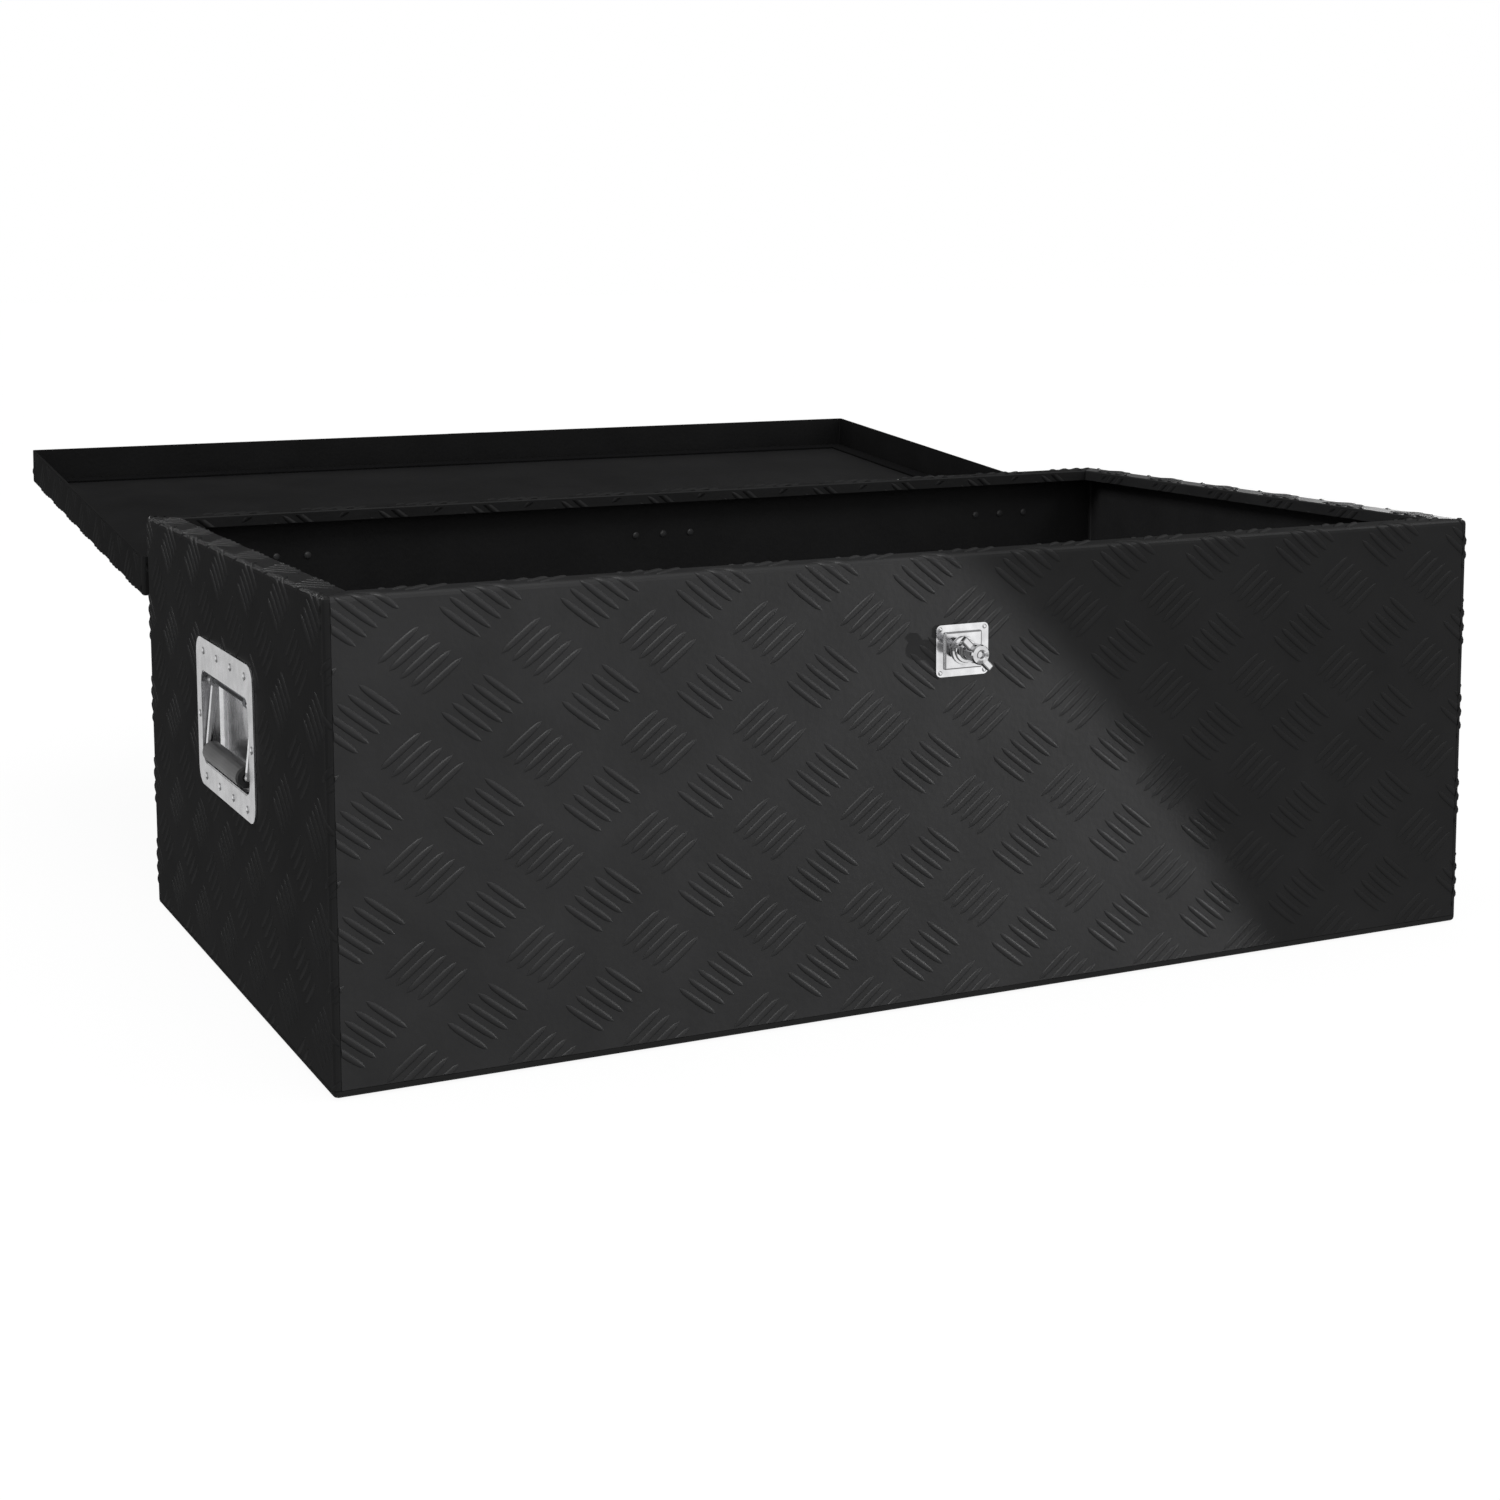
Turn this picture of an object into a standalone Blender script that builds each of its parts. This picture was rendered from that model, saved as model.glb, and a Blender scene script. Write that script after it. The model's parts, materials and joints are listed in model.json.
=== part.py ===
"""Chest-type truck tool box in folded tread plate, standing with its lid laid open.

World axes: +X to the right along the front, +Y to the rear, +Z up. The origin is the
middle of the underside. Every length is in metres.

The box is five sheets that meet at narrow seams round one rounded shell, with a rim
turned inward and down. Three butt hinges carry the lid on the rear wall. A recessed
spring handle sits in each end and a turning staple with its hasp closes the front.
"""
import math

import bmesh
import bpy
from mathutils import Matrix, Vector

# ---- box ----
BOX_W = 1.000
BOX_D = 0.560
RIM_H = 0.350
SHEET = 0.002
BEND_R = 0.004
BEND_STEPS = 3
RIM_FLANGE = 0.025
RIM_LIP = 0.010
GAP = 0.0003
SEAM = 0.0055

# ---- lid ----
LID_CLEAR = 0.002
LID_TOP = 0.3565
LID_SKIRT = 0.036
LID_BEND_R = 0.003
LID_OPEN = 174.5
SEAL_W = 0.018
SEAL_T = 0.0038
SEAL_INSET = 0.004

# ---- lid hinges ----
HINGE_X = 0.384
HINGE_W = 0.078
HINGE_T = 0.0014
KNUCKLE_R = 0.0030
PIN_R = 0.0013
BORE_R = 0.0016
HINGE_Z = 0.3172
LEAF_DOWN = 0.024
LEAF_UP = 0.025
KNUCKLES = 5
RIVET_PITCH = 0.029
BOX_RIVET_DROP = 0.010
LID_RIVET_RISE = 0.019
RIVET_R = 0.0036
RIVET_H = 0.0015
SHANK_R = 0.0020

# ---- recessed handle, in its own frame: u along the face, v up, w outward ----
HANDLE_Z = 0.2115
PLATE_U = 0.181
PLATE_V = 0.122
PLATE_R = 0.014
PLATE_T = 0.0015
DISH_U = 0.150
DISH_V = 0.075
DISH_SHIFT_V = -0.0035
DISH_R = 0.010
DISH_DEPTH = 0.016
DISH_FLOOR_R = 0.009
BAIL_PIVOT_V = 0.0265
BAIL_PIVOT_W = -0.0065
BAIL_PIN_R = 0.0025
BAIL_ROD_R = 0.0030
BAIL_ARM_U = 0.0640
GRIP_V = -0.0300
GRIP_W = -0.0010
GRIP_R = 0.0085
GRIP_HALF = 0.0555
EYE_R = 0.0052
EYE_HALF = 0.0045
SPRING_R = 0.0042
SPRING_WIRE = 0.0007

# ---- front lock, in its own frame: x right, y up, z outward ----
LOCK_Z = 0.2765
LOCK_W = 0.046
LOCK_H = 0.040
LOCK_R = 0.004
STAPLE_R = 0.0040
STAPLE_OUT = 0.0300
WING_HALF = 0.0170
WING_REST = -45.0

# ---- hasp on the lid front ----
HASP_W = 0.046
HASP_T = 0.0015
HASP_Z = 0.3240
HASP_LEAF = 0.025
HASP_DROP = 0.0680
HASP_FOLD = 5.5

STEEL = (0.62, 0.63, 0.64)
BLACK = (0.020, 0.020, 0.022)


# ---- scene ----
for old in list(bpy.data.objects):
    bpy.data.objects.remove(old, do_unlink=True)

parts = bpy.data.collections.new("truck_tool_box")
tools = bpy.data.collections.new("cutters")
bpy.context.scene.collection.children.link(parts)
bpy.context.scene.collection.children.link(tools)
tools.hide_render = True


# ---- helpers ----
def surface(name, colour, roughness, metallic):
    """A Principled material."""
    mat = bpy.data.materials.new(name)
    mat.use_nodes = True
    shader = mat.node_tree.nodes["Principled BSDF"]
    shader.inputs["Base Color"].default_value = (*colour, 1.0)
    shader.inputs["Roughness"].default_value = roughness
    shader.inputs["Metallic"].default_value = metallic
    mat.diffuse_color = (*colour, 1.0)
    return mat


def tool(name, mesh):
    """A helper body, kept out of the model."""
    obj = bpy.data.objects.new(name, mesh)
    tools.objects.link(obj)
    obj.hide_render = True
    obj.display_type = "WIRE"
    return obj


def evaluated(obj):
    """The mesh of an object with its modifiers carried out."""
    bpy.context.view_layer.update()
    graph = bpy.context.evaluated_depsgraph_get()
    mesh = bpy.data.meshes.new_from_object(obj.evaluated_get(graph), depsgraph=graph)
    bm = bmesh.new()
    bm.from_mesh(mesh)
    bmesh.ops.remove_doubles(bm, verts=bm.verts, dist=1e-6)
    bm.to_mesh(mesh)
    bm.free()
    return mesh


def take(obj):
    """The evaluated mesh of a helper, which is then removed."""
    mesh = evaluated(obj)
    bpy.data.objects.remove(obj, do_unlink=True)
    return mesh


def moved(mesh, matrix):
    mesh.transform(matrix)
    return mesh


def block(lo, hi):
    """A box between two corners."""
    lo, hi = Vector(lo), Vector(hi)
    size = hi - lo
    bm = bmesh.new()
    place = Matrix.Translation((lo + hi) / 2) @ Matrix.Diagonal((*size, 1.0))
    bmesh.ops.create_cube(bm, size=1.0, matrix=place)
    mesh = bpy.data.meshes.new("block")
    bm.to_mesh(mesh)
    bm.free()
    return mesh


def rounded_block(lo, hi, radius, steps):
    """A box with every edge rounded."""
    obj = tool("rounded", block(lo, hi))
    bevel = obj.modifiers.new("round", "BEVEL")
    bevel.width = radius
    bevel.segments = steps
    bevel.limit_method = "NONE"
    return take(obj)


def flare(half_x, half_y, top, depth, grow):
    """A box that widens towards its top, to break an inner edge."""
    mesh = block((-half_x, -half_y, top - depth), (half_x, half_y, top))
    for vert in mesh.vertices:
        if vert.co.z > top - depth / 2:
            vert.co.x += math.copysign(grow, vert.co.x)
            vert.co.y += math.copysign(grow, vert.co.y)
    return mesh


def cylinder(radius, half, axis="Z", sides=16, centre=(0, 0, 0)):
    """A rod centred on a point, along one axis."""
    turn = {"X": Matrix.Rotation(math.pi / 2, 4, "Y"), "Y": Matrix.Rotation(math.pi / 2, 4, "X")}
    bm = bmesh.new()
    place = Matrix.Translation(centre) @ turn.get(axis, Matrix.Identity(4))
    bmesh.ops.create_cone(
        bm,
        cap_ends=True,
        segments=sides,
        radius1=radius,
        radius2=radius,
        depth=2 * half,
        matrix=place,
    )
    mesh = bpy.data.meshes.new("rod")
    bm.to_mesh(mesh)
    bm.free()
    return mesh


def turned(profile, sides):
    """A solid of revolution about Z from (radius, height) pairs, from the top down."""
    mesh = bpy.data.meshes.new("profile")
    points = [(r, 0.0, h) for r, h in profile]
    mesh.from_pydata(points, [(i, i + 1) for i in range(len(points) - 1)], [])
    obj = tool("turned", mesh)
    screw = obj.modifiers.new("turn", "SCREW")
    screw.steps = sides
    screw.render_steps = sides
    screw.use_merge_vertices = True
    screw.merge_threshold = 0.00001
    screw.use_normal_calculate = True
    made = take(obj)
    bm = bmesh.new()
    bm.from_mesh(made)
    bmesh.ops.recalc_face_normals(bm, faces=bm.faces)
    bm.to_mesh(made)
    bm.free()
    return made


def prism(points, low, high):
    """A flat outline, filled and drawn out from low to high."""
    data = bpy.data.curves.new("outline", "CURVE")
    data.dimensions = "2D"
    data.fill_mode = "BOTH"
    data.extrude = (high - low) / 2
    spline = data.splines.new("POLY")
    spline.points.add(len(points) - 1)
    for slot, (x, y) in zip(spline.points, points):
        slot.co = (x, y, 0.0, 1.0)
    spline.use_cyclic_u = True
    obj = bpy.data.objects.new("outline", data)
    tools.objects.link(obj)
    mesh = take(obj)
    bm = bmesh.new()
    bm.from_mesh(mesh)
    bmesh.ops.dissolve_limit(bm, angle_limit=0.001, verts=bm.verts, edges=bm.edges)
    bm.to_mesh(mesh)
    bm.free()
    return moved(mesh, Matrix.Translation((0, 0, (low + high) / 2)))


def corner_arc(centre, radius, start, steps):
    """Points of a quarter circle that begins at an angle in degrees."""
    angles = [math.radians(start + 90 * i / steps) for i in range(steps + 1)]
    return [(centre[0] + radius * math.cos(a), centre[1] + radius * math.sin(a)) for a in angles]


def rounded_rectangle(width, height, radius, steps=5, centre=(0.0, 0.0)):
    """The outline of a rectangle with round corners."""
    x, y = width / 2 - radius, height / 2 - radius
    corners = ((x, y, 0), (-x, y, 90), (-x, -y, 180), (x, -y, 270))
    found = []
    for cx, cy, start in corners:
        found += corner_arc((centre[0] + cx, centre[1] + cy), radius, start, steps)
    return found


def rod_along(points, radius, resolution=2):
    """A wire with closed ends along a line of points."""
    data = bpy.data.curves.new("wire", "CURVE")
    data.dimensions = "3D"
    data.bevel_depth = radius
    data.bevel_resolution = resolution
    data.use_fill_caps = True
    spline = data.splines.new("POLY")
    spline.points.add(len(points) - 1)
    for slot, point in zip(spline.points, points):
        slot.co = (*point, 1.0)
    obj = bpy.data.objects.new("wire", data)
    tools.objects.link(obj)
    return take(obj)


def gathered(meshes):
    """One mesh out of several."""
    bm = bmesh.new()
    for mesh in meshes:
        bm.from_mesh(mesh)
    joined = bpy.data.meshes.new("gathered")
    bm.to_mesh(joined)
    bm.free()
    return joined


def combined(mesh, steps):
    """A mesh after a list of ("UNION" | "DIFFERENCE" | "INTERSECT", mesh) steps."""
    obj = tool("work", mesh)
    used = []
    for number, (operation, other) in enumerate(steps):
        cutter = tool("cut_%d" % number, other)
        used.append(cutter)
        step = obj.modifiers.new("step_%d" % number, "BOOLEAN")
        step.operation = operation
        step.solver = "EXACT"
        step.object = cutter
    mesh = take(obj)
    for cutter in used:
        bpy.data.objects.remove(cutter, do_unlink=True)
    return mesh


def node(name, mesh, colour, roughness, metallic, parent=None, place=None, smooth=35.0):
    """A named piece of the model."""
    mesh.name = name
    mesh.materials.clear()
    mesh.materials.append(surface(name, colour, roughness, metallic))
    mesh.shade_smooth()
    mesh.set_sharp_from_angle(angle=math.radians(smooth))
    obj = bpy.data.objects.new(name, mesh)
    parts.objects.link(obj)
    obj.parent = parent
    if place is not None:
        obj.matrix_basis = place
    return obj


def frame_at(name, location, rotation=(0, 0, 0), parent=None):
    """An empty that carries pieces in their own axes."""
    empty = bpy.data.objects.new(name, None)
    parts.objects.link(empty)
    empty.location = location
    empty.rotation_euler = [math.radians(a) for a in rotation]
    empty.parent = parent
    return empty


def rivet_head(radius=RIVET_R, height=RIVET_H, sink=0.0004, sides=10):
    """A domed rivet head on z = 0 that points to +Z, its foot sunk a little for a union."""
    profile = [
        (0.0, height),
        (radius * 0.55, height * 0.86),
        (radius * 0.90, height * 0.45),
        (radius, 0.0),
        (radius, -sink),
        (0.0, -sink),
    ]
    return turned(profile, sides)


def knuckled_plate(width, near, far, mids, half, front, back, cut=0.0):
    """A hinge plate standing in the XZ plane, with tabs that lead into its knuckles."""
    side = width / 2 - GAP / 2
    sign = 1 if far > 0 else -1
    if cut:
        low_far = far - sign * cut
        corners = [(-side, low_far), (-side + cut, far), (side - cut, far), (side, low_far)]
    else:
        corners = [(-side, far), (side, far)]
    points = [(side, near), (-side, near), *corners]
    stand = Matrix.Rotation(math.pi / 2, 4, "X")
    sheet = moved(prism(points[::-sign], -back, -front), stand)
    inset = 0.00002
    low, high = sorted((0.0, near + sign * 0.0006))
    tabs = [
        block((x - half + 0.0001, front + inset, low), (x + half - 0.0001, back - inset, high))
        for x in mids
    ]
    knuckles = [cylinder(KNUCKLE_R, half, "X", 14, (x, 0, 0)) for x in mids]
    bore = cylinder(BORE_R, width, "X", 10)
    return sheet, [
        ("UNION", gathered(tabs)),
        ("UNION", gathered(knuckles)),
        ("DIFFERENCE", bore),
    ]


# ---- box sheets ----
HX, HY = BOX_W / 2, BOX_D / 2


def box_shell():
    """The whole folded box as one sheet-thick shell with its rim."""
    outer = rounded_block((-HX, -HY, 0), (HX, HY, RIM_H), BEND_R, BEND_STEPS)
    cavity = rounded_block(
        (-HX + SHEET, -HY + SHEET, SHEET),
        (HX - SHEET, HY - SHEET, RIM_H - SHEET),
        BEND_R - SHEET,
        BEND_STEPS,
    )
    ox, oy = HX - RIM_FLANGE, HY - RIM_FLANGE
    lip = block(
        (-ox - SHEET, -oy - SHEET, RIM_H - RIM_LIP), (ox + SHEET, oy + SHEET, RIM_H - SHEET / 2)
    )
    mouth = block((-ox, -oy, RIM_H - 0.03), (ox, oy, RIM_H + 0.01))
    ease = flare(ox - 0.0005, oy - 0.0005, RIM_H + 0.0005, 0.002, 0.002)
    return combined(
        outer,
        [("DIFFERENCE", cavity), ("UNION", lip), ("DIFFERENCE", mouth), ("DIFFERENCE", ease)],
    )


shell = box_shell()
edge_x, edge_y = HX - SEAM, HY - SEAM
reach = 0.05
wall_low = SEAM + GAP
over = 0.01


def mirrored(points, sx, sy):
    made = [(x * sx, y * sy) for x, y in points]
    return made[::-1] if sx * sy < 0 else made


def plan_region(points):
    return prism(points, wall_low, RIM_H + over)


end_plan = [
    (HX + over, -HY - over),
    (HX + over, HY + over),
    (edge_x, HY + over),
    (edge_x, edge_y),
    (edge_x - reach, edge_y - reach),
    (edge_x - reach, -edge_y + reach),
    (edge_x, -edge_y),
    (edge_x, -HY - over),
]
slack = GAP * (math.sqrt(2) - 1)
side_x, side_y = edge_x - GAP, edge_y + slack
side_plan = [
    (-side_x, HY + over),
    (-side_x, side_y),
    (-side_x + reach, side_y - reach),
    (side_x - reach, side_y - reach),
    (side_x, side_y),
    (side_x, HY + over),
]

hinge_centres = (-HINGE_X, 0.0, HINGE_X)
rivet_xs = [c + k * RIVET_PITCH for c in hinge_centres for k in (-1, 0, 1)]
rear_holes = gathered(
    [
        cylinder(SHANK_R + GAP, 0.006, "Y", 12, (x, HY, HINGE_Z - BOX_RIVET_DROP))
        for x in rivet_xs
    ]
)
lock_hole = cylinder(STAPLE_R + 0.0005, 0.006, "Y", 20, (0, -HY, LOCK_Z))
window = rounded_rectangle(DISH_U + 0.009, DISH_V + 0.006, DISH_R + 0.002, 3, (0, DISH_SHIFT_V))
end_window = moved(prism(window, -0.01, 0.01), Matrix.Rotation(math.pi / 2, 4, "X"))
end_window.transform(Matrix.Rotation(math.pi / 2, 4, "Z"))


def end_cut(side):
    return moved(end_window.copy(), Matrix.Translation((side * HX, 0, HANDLE_Z)))


panel_look = (BLACK, 0.42, 0.0)
floor_region = block((-HX - over, -HY - over, -over), (HX + over, HY + over, SEAM))
node("bottom_panel", combined(shell.copy(), [("INTERSECT", floor_region)]), *panel_look)
node(
    "front_panel",
    combined(
        shell.copy(),
        [("INTERSECT", plan_region(mirrored(side_plan, 1, -1))), ("DIFFERENCE", lock_hole)],
    ),
    *panel_look,
)
node(
    "rear_panel",
    combined(shell.copy(), [("INTERSECT", plan_region(side_plan)), ("DIFFERENCE", rear_holes)]),
    *panel_look,
)
node(
    "left_end_panel",
    combined(
        shell.copy(),
        [("INTERSECT", plan_region(mirrored(end_plan, -1, 1))), ("DIFFERENCE", end_cut(-1))],
    ),
    *panel_look,
)
node(
    "right_end_panel",
    combined(
        shell.copy(),
        [("INTERSECT", plan_region(end_plan)), ("DIFFERENCE", end_cut(1))],
    ),
    *panel_look,
)

# ---- lid: drawn closed about its hinge axis, then laid open by its frame ----
pin_y = HY + GAP + KNUCKLE_R
lid_frame = frame_at("lid_axis", (0, pin_y, HINGE_Z), (-LID_OPEN, 0, 0))
to_lid = Matrix.Translation((0, -pin_y, -HINGE_Z))
lx, ly = HX + LID_CLEAR + SHEET, HY + LID_CLEAR + SHEET
lid_bottom = LID_TOP - LID_SKIRT


def lid_tray():
    outer = rounded_block((-lx, -ly, lid_bottom - 0.02), (lx, ly, LID_TOP), LID_BEND_R, 3)
    hollow = rounded_block(
        (-lx + SHEET, -ly + SHEET, lid_bottom - 0.03),
        (lx - SHEET, ly - SHEET, LID_TOP - SHEET),
        LID_BEND_R - SHEET,
        2,
    )
    below = block((-lx - over, -ly - over, lid_bottom - 0.05), (lx + over, ly + over, lid_bottom))
    holes = gathered(
        [
            cylinder(SHANK_R + GAP, 0.006, "Y", 12, (x, ly, HINGE_Z + LID_RIVET_RISE))
            for x in rivet_xs
        ]
    )
    return combined(outer, [("DIFFERENCE", hollow), ("DIFFERENCE", below), ("DIFFERENCE", holes)])


node("lid_skin", moved(lid_tray(), to_lid), *panel_look, parent=lid_frame)

seal_top = LID_TOP - SHEET - GAP
sx, sy = lx - SHEET - SEAL_INSET, ly - SHEET - SEAL_INSET
seal_outer = block((-sx, -sy, seal_top - SEAL_T), (sx, sy, seal_top))
seal_hole = block((-sx + SEAL_W, -sy + SEAL_W, 0.3), (sx - SEAL_W, sy - SEAL_W, 0.4))
seal = combined(seal_outer, [("DIFFERENCE", seal_hole)])
node("lid_seal", moved(seal, to_lid), (0.012, 0.012, 0.013), 0.95, 0.0, parent=lid_frame)


# ---- lid hinges: leaf pair and pin, about an axis along X at the origin ----
def hinge_leaf(up):
    """One leaf with its knuckles and rivets; up is the lid's leaf."""
    pitch = HINGE_W / KNUCKLES
    own = range(1, KNUCKLES, 2) if up else range(0, KNUCKLES, 2)
    mids = [(-HINGE_W / 2 + pitch * (i + 0.5)) for i in own]
    half = pitch / 2 - GAP / 2
    sign = 1 if up else -1
    back = -KNUCKLE_R + 0.00005
    face = back + HINGE_T
    far = sign * (LEAF_UP if up else LEAF_DOWN)
    near = sign * (KNUCKLE_R + GAP)
    leaf, steps = knuckled_plate(HINGE_W, near, far, mids, half, back, face)
    row = sign * (LID_RIVET_RISE if up else BOX_RIVET_DROP)
    outward = Matrix.Rotation(-math.pi / 2, 4, "X")
    inward = Matrix.Rotation(math.pi / 2, 4, "X")
    rivets = []
    for k in (-1, 0, 1):
        x = k * RIVET_PITCH
        if up:
            outer = -KNUCKLE_R + HINGE_T + GAP + SHEET + GAP
            rivets.append(rivet(x, row, back + HINGE_T / 2, outer, outward))
        else:
            outer = -KNUCKLE_R - GAP - SHEET - GAP
            rivets.append(rivet(x, row, back + HINGE_T / 2, outer, inward))
            steps.append(("UNION", moved(rivet_head(), at(x, face, row) @ outward)))
    steps.append(("UNION", gathered(rivets)))
    return combined(leaf, steps)


def rivet(x, z, start, head, turn):
    """A shank along Y from inside a leaf to a domed head on the far side of a sheet."""
    length = abs(head - start)
    profile = [
        (0.0, RIVET_H),
        (RIVET_R * 0.55, RIVET_H * 0.86),
        (RIVET_R * 0.90, RIVET_H * 0.45),
        (RIVET_R, 0.0),
        (SHANK_R, 0.0),
        (SHANK_R, -length),
        (0.0, -length),
    ]
    return moved(turned(profile, 10), at(x, head, z) @ turn)


def at(x, y, z):
    return Matrix.Translation((x, y, z))


def hinge_pin():
    half = HINGE_W / 2
    profile = [
        (0.0, half + 0.0019),
        (0.0016, half + 0.0018),
        (0.0024, half + 0.0012),
        (0.0024, half + GAP),
        (PIN_R, half + GAP),
        (PIN_R, -half - GAP),
        (0.0024, -half - GAP),
        (0.0024, -half - 0.0012),
        (0.0016, -half - 0.0018),
        (0.0, -half - 0.0019),
    ]
    return moved(turned(profile, 12), Matrix.Rotation(math.pi / 2, 4, "Y"))


leaf_low, leaf_high, pin_mesh = hinge_leaf(False), hinge_leaf(True), hinge_pin()
for tag, x in zip(("left", "middle", "right"), hinge_centres):
    spot = at(x, pin_y, HINGE_Z)
    node("hinge_box_leaf_" + tag, leaf_low.copy(), *panel_look, place=spot)
    node("hinge_pin_" + tag, pin_mesh.copy(), STEEL, 0.30, 1.0, place=spot)
    node(
        "hinge_lid_leaf_" + tag, leaf_high.copy(), *panel_look, parent=lid_frame, place=at(x, 0, 0)
    )


# ---- recessed handle ----
def dish():
    """Pressed plate with its recess, rivet heads and bores for the bail pin."""
    plate = prism(rounded_rectangle(PLATE_U, PLATE_V, PLATE_R, 4), GAP, GAP + PLATE_T)
    low = -DISH_DEPTH
    wall = PLATE_T
    mid = DISH_SHIFT_V

    def bowl(u, v, corner, floor, floor_r, top):
        walls = prism(rounded_rectangle(u, v, corner, 3, (0, mid)), floor, top)
        obj = tool("bowl", walls)
        rim = obj.modifiers.new("floor", "BEVEL")
        rim.width = floor_r
        rim.segments = 3
        rim.limit_method = "WEIGHT"
        data = obj.data
        weight = data.attributes.new("bevel_weight_edge", "FLOAT", "EDGE")
        for edge in data.edges:
            flat = all(abs(data.vertices[i].co.z - floor) < 1e-6 for i in edge.vertices)
            weight.data[edge.index].value = 1.0 if flat else 0.0
        return take(obj)

    outside = bowl(
        DISH_U + 2 * wall, DISH_V + 2 * wall, DISH_R + wall, low - wall, DISH_FLOOR_R, GAP + 0.0007
    )
    inside = bowl(DISH_U, DISH_V, DISH_R, low, DISH_FLOOR_R - wall, 0.01)
    lead_in = prism(
        rounded_rectangle(DISH_U + 0.002, DISH_V + 0.002, DISH_R + 0.001, 3, (0, mid)),
        GAP + PLATE_T - 0.0005,
        0.01,
    )
    top, bottom, side = PLATE_V / 2 - 0.0105, -PLATE_V / 2 + 0.0085, PLATE_U / 2 - 0.0075
    spots = [(u, top) for u in (-0.066, -0.022, 0.022, 0.066)]
    spots += [(u, bottom) for u in (-0.066, -0.022, 0.022, 0.066)]
    spots += [(-side, mid), (side, mid)]
    heads = [
        moved(rivet_head(0.0034, 0.0014, sides=8), at(u, v, GAP + PLATE_T)) for u, v in spots
    ]
    bores = cylinder(BAIL_PIN_R + GAP, 0.10, "X", 16, (0, BAIL_PIVOT_V, BAIL_PIVOT_W))
    return combined(
        plate,
        [
            ("UNION", outside),
            ("DIFFERENCE", inside),
            ("DIFFERENCE", lead_in),
            ("UNION", gathered(heads)),
            ("DIFFERENCE", bores),
        ],
    )


def bail():
    """Bent rod with an eye at each end, about the pivot axis."""
    drop, out = GRIP_V - BAIL_PIVOT_V, GRIP_W - BAIL_PIVOT_W
    bend = 0.0060
    arm = []
    for angle in (0, 30, 60, 90):
        a = math.radians(angle)
        arm.append(
            (BAIL_ARM_U - bend + bend * math.cos(a), drop + bend - bend * math.sin(a), out)
        )
    line = [(BAIL_ARM_U, -0.003, 0.0), *arm]
    line = [(-u, v, w) for u, v, w in line] + line[::-1]
    eyes = [cylinder(EYE_R, EYE_HALF, "X", 16, (s * BAIL_ARM_U, 0, 0)) for s in (-1, 1)]
    bore = cylinder(BAIL_PIN_R + GAP, 0.1, "X", 16)
    return combined(
        rod_along(line, BAIL_ROD_R),
        [("UNION", eyes[0]), ("UNION", eyes[1]), ("DIFFERENCE", bore)],
    )


def grip():
    """Sleeve over the straight part of the bail."""
    r, hole, half, ease = GRIP_R, BAIL_ROD_R + GAP, GRIP_HALF, 0.0015
    sleeve = [
        (hole, half),
        (r - ease, half),
        (r, half - ease),
        (r, -half + ease),
        (r - ease, -half),
        (hole, -half),
        (hole, half),
    ]
    return moved(turned(sleeve, 20), Matrix.Rotation(math.pi / 2, 4, "Y"))


def bail_pin():
    half = DISH_U / 2 + PLATE_T + 0.0012
    profile = [
        (0.0, half + 0.0004),
        (BAIL_PIN_R, half),
        (BAIL_PIN_R, -half),
        (0.0, -half - 0.0004),
    ]
    return moved(turned(profile, 16), Matrix.Rotation(math.pi / 2, 4, "Y"))


def bail_spring():
    """Torsion spring round the pin, one leg on the dish and one on the bail."""
    turns, steps, start = 3, 10, 0.0440
    pitch = 0.0024
    line = [(start, -0.0130, -0.0052), (start, -0.0060, -0.0050)]
    for i in range(turns * steps + 1):
        a = math.radians(230 - 360 * i / steps)
        u = start + pitch * i / steps
        line.append((u, SPRING_R * math.cos(a), SPRING_R * math.sin(a)))
    end = start + pitch * turns
    line += [(end, -0.0080, -0.0020), (end, -0.0170, -0.0010)]
    return rod_along(line, SPRING_WIRE, 1)


dish_mesh, bail_mesh, grip_mesh = dish(), bail(), grip()
rod_mesh, spring_mesh = bail_pin(), bail_spring()
for tag, side in (("left", -1), ("right", 1)):
    face = frame_at("handle_face_" + tag, (side * HX, 0, HANDLE_Z), (90, 0, side * 90))
    pivot = frame_at("bail_axis_" + tag, (0, BAIL_PIVOT_V, BAIL_PIVOT_W), parent=face)
    node("handle_dish_" + tag, dish_mesh.copy(), STEEL, 0.25, 1.0, parent=face)
    node("handle_bail_" + tag, bail_mesh.copy(), STEEL, 0.22, 1.0, parent=pivot)
    node(
        "handle_grip_" + tag,
        grip_mesh.copy(),
        (0.10, 0.10, 0.105),
        0.5,
        0.0,
        parent=pivot,
        place=at(0, GRIP_V - BAIL_PIVOT_V, GRIP_W - BAIL_PIVOT_W),
    )
    spot = at(0, BAIL_PIVOT_V, BAIL_PIVOT_W)
    node("handle_pin_" + tag, rod_mesh.copy(), STEEL, 0.3, 1.0, parent=face, place=spot)
    node("handle_spring_" + tag, spring_mesh.copy(), STEEL, 0.35, 1.0, parent=face, place=spot)


# ---- front lock ----
lock_face = frame_at("lock_face", (0, -HY, LOCK_Z), (90, 0, 0))


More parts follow.
